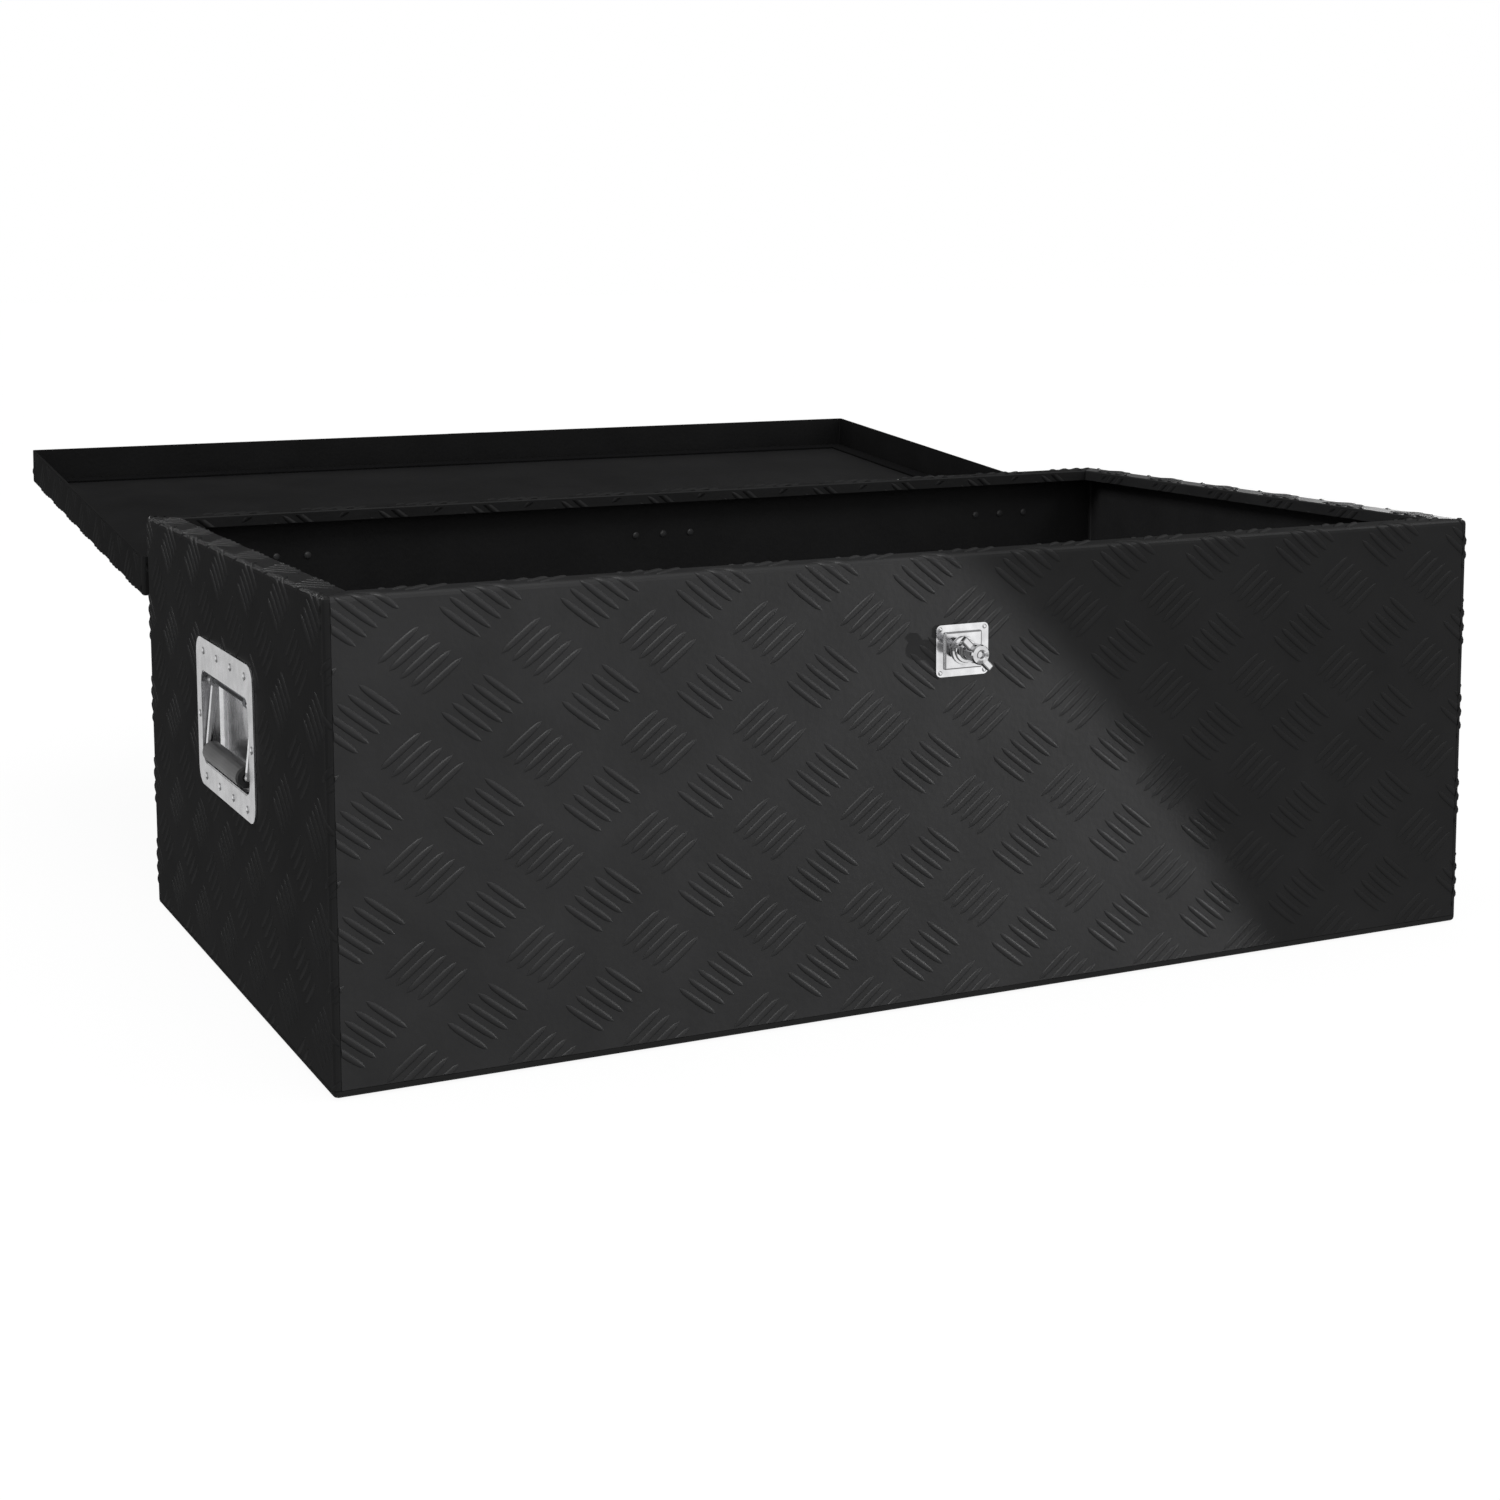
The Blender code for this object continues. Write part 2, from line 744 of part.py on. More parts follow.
def lock_plate():
    base = prism(rounded_rectangle(LOCK_W, LOCK_H, LOCK_R, 4), GAP, 0.0020)
    step = tool("step", block((-0.0165, -0.0145, 0.0012), (0.0165, 0.0145, 0.0040)))
    ease = step.modifiers.new("ease", "BEVEL")
    ease.width = 0.0012
    ease.segments = 2
    raised = take(step)
    heads = []
    for u in (-1, 1):
        for v in (-1, 1):
            heads.append(moved(rivet_head(0.0019, 0.0010, sides=10), at(u * 0.0195, v * 0.0168, 0.002)))
    return combined(
        base,
        [
            ("UNION", raised),
            ("UNION", gathered(heads)),
            ("DIFFERENCE", cylinder(STAPLE_R + GAP, 0.02, "Z", 20)),
        ],
    )


def lock_collar():
    """Stepped bush round the staple."""
    inner = STAPLE_R + GAP
    foot = 0.0040 + GAP
    profile = [
        (inner, 0.0120),
        (0.0062, 0.0120),
        (0.0068, 0.0114),
        (0.0068, 0.0088),
        (0.0088, 0.0084),
        (0.0092, 0.0078),
        (0.0092, 0.0060),
        (0.0108, 0.0057),
        (0.0110, 0.0052),
        (0.0110, foot),
        (inner, foot),
        (inner, 0.0120),
    ]
    return turned(profile, 22)


def turn_staple():
    """Shaft, round head with a dimple, and a cross bar."""
    r = STAPLE_R
    neck = 0.0120 + GAP
    profile = [
        (0.0, STAPLE_OUT - 0.0025),
        (0.0022, STAPLE_OUT - 0.0025),
        (0.0030, STAPLE_OUT - 0.0004),
        (0.0042, STAPLE_OUT),
        (0.0070, STAPLE_OUT - 0.0008),
        (0.0078, STAPLE_OUT - 0.0022),
        (0.0078, 0.0190),
        (0.0050, 0.0175),
        (0.0050, neck),
        (r, neck),
        (r, -0.0125),
        (0.0034, -0.0131),
        (0.0, -0.0131),
    ]
    bar = tool("bar", block((-WING_HALF, -0.0030, 0.0200), (WING_HALF, 0.0030, 0.0255)))
    ease = bar.modifiers.new("ease", "BEVEL")
    ease.width = 0.0012
    ease.segments = 2
    wings = moved(take(bar), Matrix.Rotation(math.radians(WING_REST), 4, "Z"))
    return combined(turned(profile, 20), [("UNION", wings)])


def hex_nut():
    low, high = -SHEET - GAP - 0.0012 - GAP - 0.0060, -SHEET - GAP - 0.0012 - GAP
    body = cylinder(0.0075, (high - low) / 2, "Z", 6, (0, 0, (low + high) / 2))
    return combined(body, [("DIFFERENCE", cylinder(STAPLE_R + GAP, 0.02, "Z", 20))])


def washer():
    high = -SHEET - GAP
    low = high - 0.0012
    inner = STAPLE_R + GAP
    return turned(
        [(inner, high), (0.0085, high), (0.0085, low), (inner, low), (inner, high)], 24
    )


node("lock_plate", lock_plate(), STEEL, 0.20, 1.0, parent=lock_face)
node("lock_collar", lock_collar(), STEEL, 0.18, 1.0, parent=lock_face)
node("lock_staple", turn_staple(), STEEL, 0.18, 1.0, parent=lock_face)
node("lock_washer", washer(), STEEL, 0.35, 1.0, parent=lock_face)
node("lock_nut", hex_nut(), STEEL, 0.35, 1.0, parent=lock_face)

# ---- hasp: leaf on the lid skirt, strap folded back over it ----
hasp_y = -ly - GAP - KNUCKLE_R
hasp_axis = (0, hasp_y - pin_y, HASP_Z - HINGE_Z)
hasp_frame = frame_at("hasp_axis", hasp_axis, (-180 - HASP_FOLD, 0, 0), lid_frame)


def hasp_part(up):
    """Leaf (up) or strap, about the axis along X, both with their back at +Y."""
    pitch = HASP_W / 3
    mids = (0.0,) if up else (-pitch, pitch)
    half = pitch / 2 - GAP / 2
    sign = 1 if up else -1
    back = KNUCKLE_R - 0.00005
    front = back - HASP_T
    far = sign * (HASP_LEAF if up else HASP_DROP)
    near = sign * (KNUCKLE_R + GAP)
    stand = Matrix.Rotation(math.pi / 2, 4, "X")
    sheet, steps = knuckled_plate(HASP_W, near, far, mids, half, front, back, 0.006)
    if up:
        for x in (-0.016, 0.016):
            steps.append(("UNION", moved(rivet_head(0.0030, 0.0011), at(x, front, 0.014) @ stand)))
    else:
        centre = LOCK_Z - HASP_Z
        slot = moved(prism(rounded_rectangle(0.038, 0.0085, 0.003, 3), -0.01, 0.01), stand)
        steps.append(("DIFFERENCE", moved(slot, at(0, 0, centre))))
        steps.append(("DIFFERENCE", cylinder(0.0118, 0.01, "Y", 24, (0, 0, centre))))
    return combined(sheet, steps)


def hasp_pin():
    half = HASP_W / 2
    profile = [
        (0.0, half + 0.0016),
        (0.0022, half + 0.0011),
        (0.0022, half + GAP),
        (PIN_R, half + GAP),
        (PIN_R, -half - GAP),
        (0.0022, -half - GAP),
        (0.0022, -half - 0.0011),
        (0.0, -half - 0.0016),
    ]
    return moved(turned(profile, 12), Matrix.Rotation(math.pi / 2, 4, "Y"))


node("hasp_leaf", hasp_part(True), STEEL, 0.22, 1.0, parent=lid_frame, place=at(*hasp_axis))
node("hasp_pin", hasp_pin(), STEEL, 0.30, 1.0, parent=lid_frame, place=at(*hasp_axis))
node("hasp_strap", hasp_part(False), STEEL, 0.22, 1.0, parent=hasp_frame)
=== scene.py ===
"""Looks of a tread-plate truck tool box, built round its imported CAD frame.

Axes: +X to the right along the front, +Y to the rear, +Z up, in metres. The tread bars
are real geometry: each sheet has its own flat pattern, which is cut to the sheet's
outline and then folded with it.
"""
import json
import math

import bmesh
import bpy
import numpy as np
from mathutils import Matrix, Vector


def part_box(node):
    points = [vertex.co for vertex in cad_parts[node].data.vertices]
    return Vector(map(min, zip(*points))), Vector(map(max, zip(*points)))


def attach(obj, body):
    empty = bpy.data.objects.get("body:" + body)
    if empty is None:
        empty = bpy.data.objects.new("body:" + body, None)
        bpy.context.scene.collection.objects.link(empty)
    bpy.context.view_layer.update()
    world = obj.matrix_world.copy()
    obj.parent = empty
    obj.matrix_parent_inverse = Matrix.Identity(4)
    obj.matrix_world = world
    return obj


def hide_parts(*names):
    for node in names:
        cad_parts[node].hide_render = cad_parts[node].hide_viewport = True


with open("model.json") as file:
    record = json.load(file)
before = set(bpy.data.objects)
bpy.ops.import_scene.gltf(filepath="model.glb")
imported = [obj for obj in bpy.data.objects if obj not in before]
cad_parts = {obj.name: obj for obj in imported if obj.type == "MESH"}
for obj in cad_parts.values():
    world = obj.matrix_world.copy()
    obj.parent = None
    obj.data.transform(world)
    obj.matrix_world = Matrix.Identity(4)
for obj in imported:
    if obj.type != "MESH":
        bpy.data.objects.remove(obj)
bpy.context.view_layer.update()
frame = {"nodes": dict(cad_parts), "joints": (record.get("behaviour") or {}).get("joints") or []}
NODES = frame["nodes"]
SCENE = bpy.context.scene

# ---- sizes shared with the CAD solids ----
RIM_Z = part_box("left_end_panel")[1].z
HALF_X, HALF_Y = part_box("bottom_panel")[1].xy
BEND = 0.004  # outside radius of the folds of the box
FLANGE = 0.025  # width of the rim that is folded inward
LIP = 0.010  # drop of the lip at the inner edge of the rim
SEAM = 0.0055  # distance of a corner seam from the corner
LID_BEND = 0.003
LID_SKIRT = 0.036
LID_TOP = 0.3565
LID_HALF_X = HALF_X + 0.004
LID_HALF_Y = HALF_Y + 0.004
LID_OPEN = 174.5  # degrees from shut to the rest pose
SHEET = 0.002

LID_JOINT = next(j for j in frame["joints"] if j["name"] == "lid_hinge")
HINGE = Vector(LID_JOINT["pos_m"])
TO_OPEN = (
    Matrix.Translation(HINGE)
    @ Matrix.Rotation(math.radians(-LID_OPEN), 4, "X")
    @ Matrix.Translation(-HINGE)
)
HINGE_XS = (-0.384, 0.0, 0.384)
HANDLE_Z = 0.2115
LOCK_Z = 0.2765

# ---- tread pattern ----
CELL_U = 0.0893
CELL_V = 0.0738
BAR_ANGLE = math.radians(38.3)
BAR_LENGTH = 0.0375
BAR_WIDTH = 0.0056
BAR_HEIGHT = 0.0012
BAR_SINK = 0.0003  # a bar starts this far below the sheet's face
BAR_STEP = (0.0077, 0.0060)
BARS = 5
BARE_SEAM = 0.0006  # a bar ends this far from a seam
BARE_EDGE = 0.0012  # and this far from the edge of the lid's skirt
BARE_UNDER = 0.0090  # and this far from the edge of the underside
SMALLEST_BAR = (4e-6, 0.0005)  # area and height below which a cut bar is dropped


# ======================================================================================
# Node materials
# ======================================================================================
class Shader:
    """Short names for building one material's node tree."""

    def __init__(self, name):
        self.mat = bpy.data.materials.new(name)
        self.mat.use_nodes = True
        self.tree = self.mat.node_tree
        self.bsdf = self.tree.nodes["Principled BSDF"]
        self.place = self.tree.nodes.new("ShaderNodeTexCoord").outputs["Object"]

    def node(self, kind, **settings):
        made = self.tree.nodes.new(kind)
        for key, value in settings.items():
            setattr(made, key, value)
        return made

    def link(self, out, into):
        self.tree.links.new(out, into)

    def stretched(self, scale, turn=(0, 0, 0)):
        mapping = self.node("ShaderNodeMapping")
        mapping.inputs["Scale"].default_value = scale
        mapping.inputs["Rotation"].default_value = turn
        self.link(self.place, mapping.inputs["Vector"])
        return mapping.outputs["Vector"]

    def noise(self, scale, detail=2.0, rough=0.5, at=None, distort=0.0):
        made = self.node("ShaderNodeTexNoise")
        made.inputs["Scale"].default_value = scale
        made.inputs["Detail"].default_value = detail
        made.inputs["Roughness"].default_value = rough
        made.inputs["Distortion"].default_value = distort
        self.link(self.place if at is None else at, made.inputs["Vector"])
        return made.outputs["Fac"]

    def cells(self, scale, feature="F1", at=None):
        made = self.node("ShaderNodeTexVoronoi", feature=feature)
        made.inputs["Scale"].default_value = scale
        self.link(self.place if at is None else at, made.inputs["Vector"])
        return made.outputs["Distance"]

    def spread(self, value, low, high, to_low, to_high, smooth=False):
        """A value carried from one range to another."""
        made = self.node("ShaderNodeMapRange")
        if smooth:
            made.interpolation_type = "SMOOTHSTEP"
        made.inputs["From Min"].default_value = low
        made.inputs["From Max"].default_value = high
        made.inputs["To Min"].default_value = to_low
        made.inputs["To Max"].default_value = to_high
        self.link(value, made.inputs["Value"])
        return made.outputs["Result"]

    def sum(self, first, second, operation="ADD"):
        made = self.node("ShaderNodeMath", operation=operation)
        for socket, value in zip(made.inputs, (first, second)):
            if isinstance(value, float):
                socket.default_value = value
            else:
                self.link(value, socket)
        return made.outputs["Value"]

    def colours(self, value, *stops):
        ramp = self.node("ShaderNodeValToRGB")
        table = ramp.color_ramp.elements
        while len(table) < len(stops):
            table.new(0.5)
        for slot, (where, colour) in zip(table, stops):
            slot.position = where
            slot.color = (*colour, 1.0)
        self.link(value, ramp.inputs["Fac"])
        return ramp.outputs["Color"]

    def bump(self, height, strength, distance, below=None):
        made = self.node("ShaderNodeBump")
        made.inputs["Strength"].default_value = strength
        made.inputs["Distance"].default_value = distance
        self.link(height, made.inputs["Height"])
        if below is not None:
            self.link(below, made.inputs["Normal"])
        return made.outputs["Normal"]

    def surface(self, colour=None, rough=None, normal=None, **fixed):
        if colour is not None:
            self.link(colour, self.bsdf.inputs["Base Color"])
        if rough is not None:
            self.link(rough, self.bsdf.inputs["Roughness"])
        if normal is not None:
            self.link(normal, self.bsdf.inputs["Normal"])
        for key, value in fixed.items():
            self.bsdf.inputs[key.replace("_", " ")].default_value = value
        return self.mat


def powder_coat(name, dark, light, rough_low, rough_high, peel=1.0):
    """Satin black powder coat: orange peel, fine grain, faint smears and settled dust."""
    s = Shader(name)
    smear = s.noise(5.5, 4.0, 0.62, distort=0.6)
    fine = s.noise(900.0, 2.0, 0.6)
    tone = s.colours(s.noise(14.0, 5.0, 0.6), (0.32, dark), (0.70, light))
    speck = s.spread(s.cells(420.0), 0.0, 0.055, 1.0, 0.0)
    patch = s.spread(s.noise(38.0, 2.0, 0.5), 0.52, 0.66, 0.0, 1.0)
    dust = s.sum(speck, patch, "MULTIPLY")
    mix = s.node("ShaderNodeMix", data_type="RGBA")
    s.link(s.sum(dust, 0.35, "MULTIPLY"), mix.inputs[0])
    s.link(tone, mix.inputs[6])
    mix.inputs[7].default_value = (0.060, 0.060, 0.062, 1.0)
    base = s.spread(smear, 0.30, 0.72, rough_low, rough_high)
    grain = s.spread(fine, 0.3, 0.7, -0.025, 0.025)
    rough = s.sum(base, grain)
    low = s.bump(s.noise(210.0, 2.0, 0.45), 0.16 * peel, 0.0012)
    high = s.bump(fine, 0.10 * peel, 0.0003, low)
    return s.surface(
        colour=mix.outputs[2],
        rough=rough,
        normal=high,
        Specular_IOR_Level=0.35,
    )


def plated_steel(name, tint, rough_low, rough_high, brush=(1.0, 1.0, 1.0), grain=1.0):
    """Bright plating over pressed steel: soft smears, drawing lines and pin marks."""
    s = Shader(name)
    lines = s.noise(160.0, 3.0, 0.6, at=s.stretched(brush))
    cloud = s.noise(24.0, 4.0, 0.6)
    darker = tuple(c * 0.72 for c in tint)
    fine = s.noise(95.0, 3.0, 0.6)
    patches = s.sum(s.sum(cloud, 0.6, "MULTIPLY"), s.sum(fine, 0.4, "MULTIPLY"))
    tone = s.colours(patches, (0.38, darker), (0.60, tint))
    base = s.spread(cloud, 0.3, 0.7, rough_low, rough_high)
    rough = s.sum(base, s.spread(lines, 0.3, 0.7, -0.03, 0.04))
    soft = s.bump(s.noise(55.0, 2.0, 0.5), 0.10 * grain, 0.0012)
    normal = s.bump(lines, 0.05 * grain, 0.0003, soft)
    return s.surface(colour=tone, rough=rough, normal=normal, Metallic=1.0)


def moulded_plastic(name, dark, light, rough):
    """Moulded sleeve: even fine grain with faint handling marks."""
    s = Shader(name)
    tone = s.colours(s.noise(60.0, 3.0, 0.5), (0.3, dark), (0.7, light))
    grain = s.cells(1500.0)
    level = s.spread(s.noise(30.0, 3.0, 0.6), 0.3, 0.7, rough - 0.06, rough + 0.06)
    normal = s.bump(grain, 0.18, 0.0003)
    return s.surface(colour=tone, rough=level, normal=normal, Specular_IOR_Level=0.5)


def foam(name):
    """Closed-cell foam strip with its cut skin."""
    s = Shader(name)
    pores = s.cells(950.0)
    tone = s.colours(pores, (0.10, (0.004, 0.004, 0.004)), (0.55, (0.013, 0.013, 0.014)))
    normal = s.bump(pores, 0.5, 0.0005, s.bump(s.noise(90.0, 2.0, 0.5), 0.2, 0.001))
    level = s.spread(s.noise(400.0, 2.0, 0.5), 0.3, 0.7, 0.86, 0.98)
    return s.surface(colour=tone, rough=level, normal=normal, Specular_IOR_Level=0.2)


COAT = powder_coat("black_coat", (0.0200, 0.0200, 0.0206), (0.0290, 0.0290, 0.0298), 0.46, 0.55)
COAT_BAR = powder_coat(
    "black_coat_bars", (0.0230, 0.0230, 0.0237), (0.0290, 0.0290, 0.0298), 0.44, 0.51, 0.6
)
PRESSED = plated_steel("plated_pressing", (0.66, 0.66, 0.67), 0.20, 0.30, (1, 1, 0.12))
BAIL_STEEL = plated_steel("plated_rod", (0.64, 0.64, 0.65), 0.14, 0.22, (1, 0.2, 1), 0.6)
CHROME = plated_steel("chromed_casting", (0.74, 0.74, 0.75), 0.07, 0.13, (1, 1, 1), 0.9)
ZINC = plated_steel("zinc_hardware", (0.52, 0.53, 0.55), 0.28, 0.40, (0.1, 1, 1))
GRIP = moulded_plastic("grip_plastic", (0.030, 0.030, 0.031), (0.043, 0.043, 0.044), 0.42)
FOAM = foam("seal_foam")


def dress(obj, material):
    obj.data.materials.clear()
    obj.data.materials.append(material)


def material_for(name):
    if name.endswith("_panel") or name == "lid_skin" or "_leaf_" in name:
        return COAT
    if name.startswith("handle_grip"):
        return GRIP
    if name.startswith("handle_dish") or name.startswith("hasp_leaf"):
        return PRESSED
    if name.startswith("handle_bail") or name == "hasp_strap":
        return BAIL_STEEL
    if name in ("lock_plate", "lock_collar", "lock_staple"):
        return CHROME
    if name == "lid_seal":
        return FOAM
    return ZINC


for name, obj in NODES.items():
    dress(obj, material_for(name))


def shaded(obj, degrees=35.0):
    obj.data.shade_smooth()
    obj.data.set_sharp_from_angle(angle=math.radians(degrees))


def piece(name, bm, material, body):
    """A new object that rides on a CAD body."""
    mesh = bpy.data.meshes.new(name)
    bm.to_mesh(mesh)
    bm.free()
    obj = bpy.data.objects.new(name, mesh)
    SCENE.collection.objects.link(obj)
    dress(obj, material)
    shaded(obj)
    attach(obj, body)
    return obj


# ======================================================================================
# Tread bars
# ======================================================================================
PROFILE = (
    (-0.50, 0.0),
    (-0.42, 0.34),
    (-0.30, 0.68),
    (-0.12, 0.95),
    (0.12, 0.95),
    (0.30, 0.68),
    (0.42, 0.34),
    (0.50, 0.0),
)


def bar_template(steps):
    """Points (along, across, height) and faces of one closed bar with tapered ends."""
    points, faces = [], []
    count = len(PROFILE)
    for i in range(steps + 1):
        t = -1 + 2 * i / steps
        t = math.copysign(abs(t) ** 0.8, t)
        taper = math.sqrt(max(0.0, 1 - abs(t) ** 2.6))
        width = BAR_WIDTH * (0.10 + 0.90 * taper)
        height = BAR_HEIGHT * (0.06 + 0.94 * taper**0.8)
        for across, up in PROFILE:
            points.append((t * BAR_LENGTH / 2, across * width, up * height))
        points.append((t * BAR_LENGTH / 2, 0.5 * width, -BAR_SINK))
        points.append((t * BAR_LENGTH / 2, -0.5 * width, -BAR_SINK))
    ring = count + 2
    for i in range(steps):
        a, b = i * ring, (i + 1) * ring
        for k in range(ring):
            m = (k + 1) % ring
            faces.append((a + k, b + k, b + m, a + m))
    faces.append(tuple(range(ring)))
    faces.append(tuple(range(steps * ring + ring - 1, steps * ring - 1, -1)))
    return np.array(points), faces


COARSE, COARSE_FACES = bar_template(8)
FINE, FINE_FACES = bar_template(18)


class Sheet:
    """A flat pattern on a plane, with edges that fold back round a bend."""

    def __init__(self, origin, along, up, normal):
        self.origin, self.along = np.array(origin, float), np.array(along, float)
        self.up, self.normal = np.array(up, float), np.array(normal, float)
        self.folds = {}
        self.clips = []
        self.phase = (0.0, 0.0)
        self.span = None
        self.holes = []

    def fold(self, side, flat, radius):
        """Beyond flat on this side ("+u", "-u", "+v" or "-v") the sheet bends back."""
        self.folds[side] = (flat, radius)

    def keep(self, nu, nv, limit):
        """Only pattern points with nu*u + nv*v <= limit are kept."""
        self.clips.append((nu, nv, limit))

    def folded(self, value, axis):
        """(coordinate, drop, sideways normal, upward normal) arrays for one axis."""
        place, drop = value.copy(), np.zeros_like(value)
        side, rise = np.zeros_like(value), np.ones_like(value)
        for sign, key in ((1, "+" + axis), (-1, "-" + axis)):
            if key not in self.folds:
                continue
            flat, radius = self.folds[key]
            over = sign * value - flat
            turn = np.clip(over / radius, 0, math.pi / 2)
            rest = np.maximum(over - radius * math.pi / 2, 0)
            hit = over > 0
            place[hit] = (sign * (flat + radius * np.sin(turn)))[hit]
            drop[hit] = (radius * (1 - np.cos(turn)) + rest)[hit]
            side[hit] = (sign * np.sin(turn))[hit]
            rise[hit] = np.cos(turn)[hit]
        return place, drop, side, rise

    def mapped(self, flat):
        """World places of pattern points (u, v, height)."""
        u, du, su, ru = self.folded(flat[:, 0], "u")
        v, dv, sv, rv = self.folded(flat[:, 1], "v")
        lift = ru * rv * flat[:, 2] - du - dv
        u = u + su * flat[:, 2]
        v = v + sv * flat[:, 2]
        return (
            self.origin
            + np.outer(u, self.along)
            + np.outer(v, self.up)
            + np.outer(lift, self.normal)
        )


def clipped(points, faces, planes):
    """One bar cut by pattern half-planes (nu, nv, limit), closed again."""
    bm = bmesh.new()
    verts = [bm.verts.new(p) for p in points]
    for face in faces:
        bm.faces.new([verts[i] for i in face])
    for nu, nv, limit in planes:
        size = math.hypot(nu, nv)
        geometry = bm.verts[:] + bm.edges[:] + bm.faces[:]
        cut = bmesh.ops.bisect_plane(
            bm,
            geom=geometry,
            dist=1e-7,
            plane_co=(nu * limit / size**2, nv * limit / size**2, 0),
            plane_no=(nu / size, nv / size, 0),
            clear_outer=True,
        )
        edges = [e for e in cut["geom_cut"] if isinstance(e, bmesh.types.BMEdge)]
        if edges:
            bmesh.ops.edgeloop_fill(bm, edges=edges)
    bm.verts.index_update()
    found = np.array([v.co[:] for v in bm.verts]).reshape(-1, 3)
    sides = [tuple(v.index for v in f.verts) for f in bm.faces]
    bm.free()
    return found, sides


def patch_bars(centre, lean):
    """The five bars of one patch as (middle, angle); lean is 1 for rising bars."""
    angle = lean * BAR_ANGLE
    step = (BAR_STEP[0] * lean, -BAR_STEP[1])
    middle = (BARS - 1) / 2
    for i in range(BARS):
        k = i - middle
        yield (centre[0] + k * step[0], centre[1] + k * step[1]), angle


def hole_plane(middle, hole):
    """The edge of a rectangular hole that a bar's middle lies furthest outside."""
    lo_u, lo_v, hi_u, hi_v = hole
    sides = (
        (middle[0] - hi_u, (-1, 0, -hi_u)),
        (lo_u - middle[0], (1, 0, lo_u)),
        (middle[1] - hi_v, (0, -1, -hi_v)),
        (lo_v - middle[1], (0, 1, lo_v)),
    )
    return max(sides)


def tread(sheet):
    """World points and faces of every bar on a sheet."""
    lo_u, lo_v, hi_u, hi_v = sheet.span
    all_points, all_faces, base = [], [], 0
    first_i = math.floor((lo_u - sheet.phase[0]) / CELL_U) - 1
    last_i = math.ceil((hi_u - sheet.phase[0]) / CELL_U) + 1
    first_j = math.floor((lo_v - sheet.phase[1]) / CELL_V) - 1
    last_j = math.ceil((hi_v - sheet.phase[1]) / CELL_V) + 1
    places = []
    for i in range(first_i, last_i + 1):
        for j in range(first_j, last_j + 1):
            cu, cv = sheet.phase[0] + i * CELL_U, sheet.phase[1] + j * CELL_V
            places += list(patch_bars((cu, cv), 1))
            places += list(patch_bars((cu + CELL_U / 2, cv + CELL_V / 2), -1))
    for middle, angle in places:
        c, s = math.cos(angle), math.sin(angle)
        reach_u = abs(c) * BAR_LENGTH / 2 + BAR_WIDTH / 2
        reach_v = abs(s) * BAR_LENGTH / 2 + BAR_WIDTH / 2
        low_u, high_u = middle[0] - reach_u, middle[0] + reach_u
        low_v, high_v = middle[1] - reach_v, middle[1] + reach_v
        if high_u < lo_u or low_u > hi_u or high_v < lo_v or low_v > hi_v:
            continue
        ends = {"+u": high_u, "-u": -low_u, "+v": high_v, "-v": -low_v}
        over = [key for key, (flat, _) in sheet.folds.items() if ends[key] > flat]
        points, faces = (FINE, FINE_FACES) if over else (COARSE, COARSE_FACES)
        flat = np.empty_like(points)
        flat[:, 0] = middle[0] + points[:, 0] * c - points[:, 1] * s
        flat[:, 1] = middle[1] + points[:, 0] * s + points[:, 1] * c
        flat[:, 2] = points[:, 2]
        planes = []
        for nu, nv, limit in sheet.clips:
            if (flat[:, 0] * nu + flat[:, 1] * nv > limit).any():
                planes.append((nu, nv, limit))
        planes += corner_planes(sheet, over, middle)
        gone = False
        for hole in sheet.holes:
            inside = (
                (flat[:, 0] > hole[0])
                & (flat[:, 1] > hole[1])
                & (flat[:, 0] < hole[2])
                & (flat[:, 1] < hole[3])
            )
            if inside.all():
                gone = True
            elif inside.any():
                planes.append(hole_plane(middle, hole)[1])
        if gone:
            continue
        if planes:
            flat, faces = clipped(flat, faces, planes)
            if len(flat) < 8:
                continue
            size = flat.max(0) - flat.min(0)
            if size[0] * size[1] < SMALLEST_BAR[0] or size[2] < SMALLEST_BAR[1]:
                continue
        all_points.append(sheet.mapped(flat))
        all_faces += [tuple(k + base for k in face) for face in faces]
        base += len(flat)
    return np.concatenate(all_points), all_faces


def corner_planes(sheet, over, middle):
    """A bar that would bend both ways is cut back to one of the two flats."""
    if len({key[1] for key in over}) < 2:
        return []
    beyond_u = max(abs(middle[0]) - sheet.folds[key][0] for key in over if key[1] == "u")
    cut = "v" if beyond_u > 0 else "u"
    planes = []
    for key in over:
        if key[1] != cut:
            continue
        sign = 1 if key[0] == "+" else -1
        flat = sheet.folds[key][0] - 0.0004
        planes.append((sign, 0, flat) if cut == "u" else (0, sign, flat))
    return planes


def tread_piece(name, sheets, body, matrix=None):
    """One object with the bars of one or more sheets."""
    points, faces, base = [], [], 0
    for sheet in sheets:
        found, sides = tread(sheet)
        points.append(found)
        faces += [tuple(k + base for k in face) for face in sides]
        base += len(found)
    mesh = bpy.data.meshes.new(name)
    mesh.from_pydata(np.concatenate(points).tolist(), [], faces)
    if matrix is not None:
        mesh.transform(matrix)
    bm = bmesh.new()
    bm.from_mesh(mesh)
    bmesh.ops.recalc_face_normals(bm, faces=bm.faces)
    bm.to_mesh(mesh)
    bm.free()
    obj = bpy.data.objects.new(name, mesh)
    SCENE.collection.objects.link(obj)
    dress(obj, COAT_BAR)
    shaded(obj, 50.0)
    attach(obj, body)
    return obj


RIM_FLAT = RIM_Z - BEND
RIM_ARC = RIM_FLAT + BEND * math.pi / 2
RIM_RUN = RIM_ARC + FLANGE - BEND  # pattern height where the rim's flange ends
RIM_END = RIM_RUN - 0.0016
WALL_LOW = SEAM + 0.0009


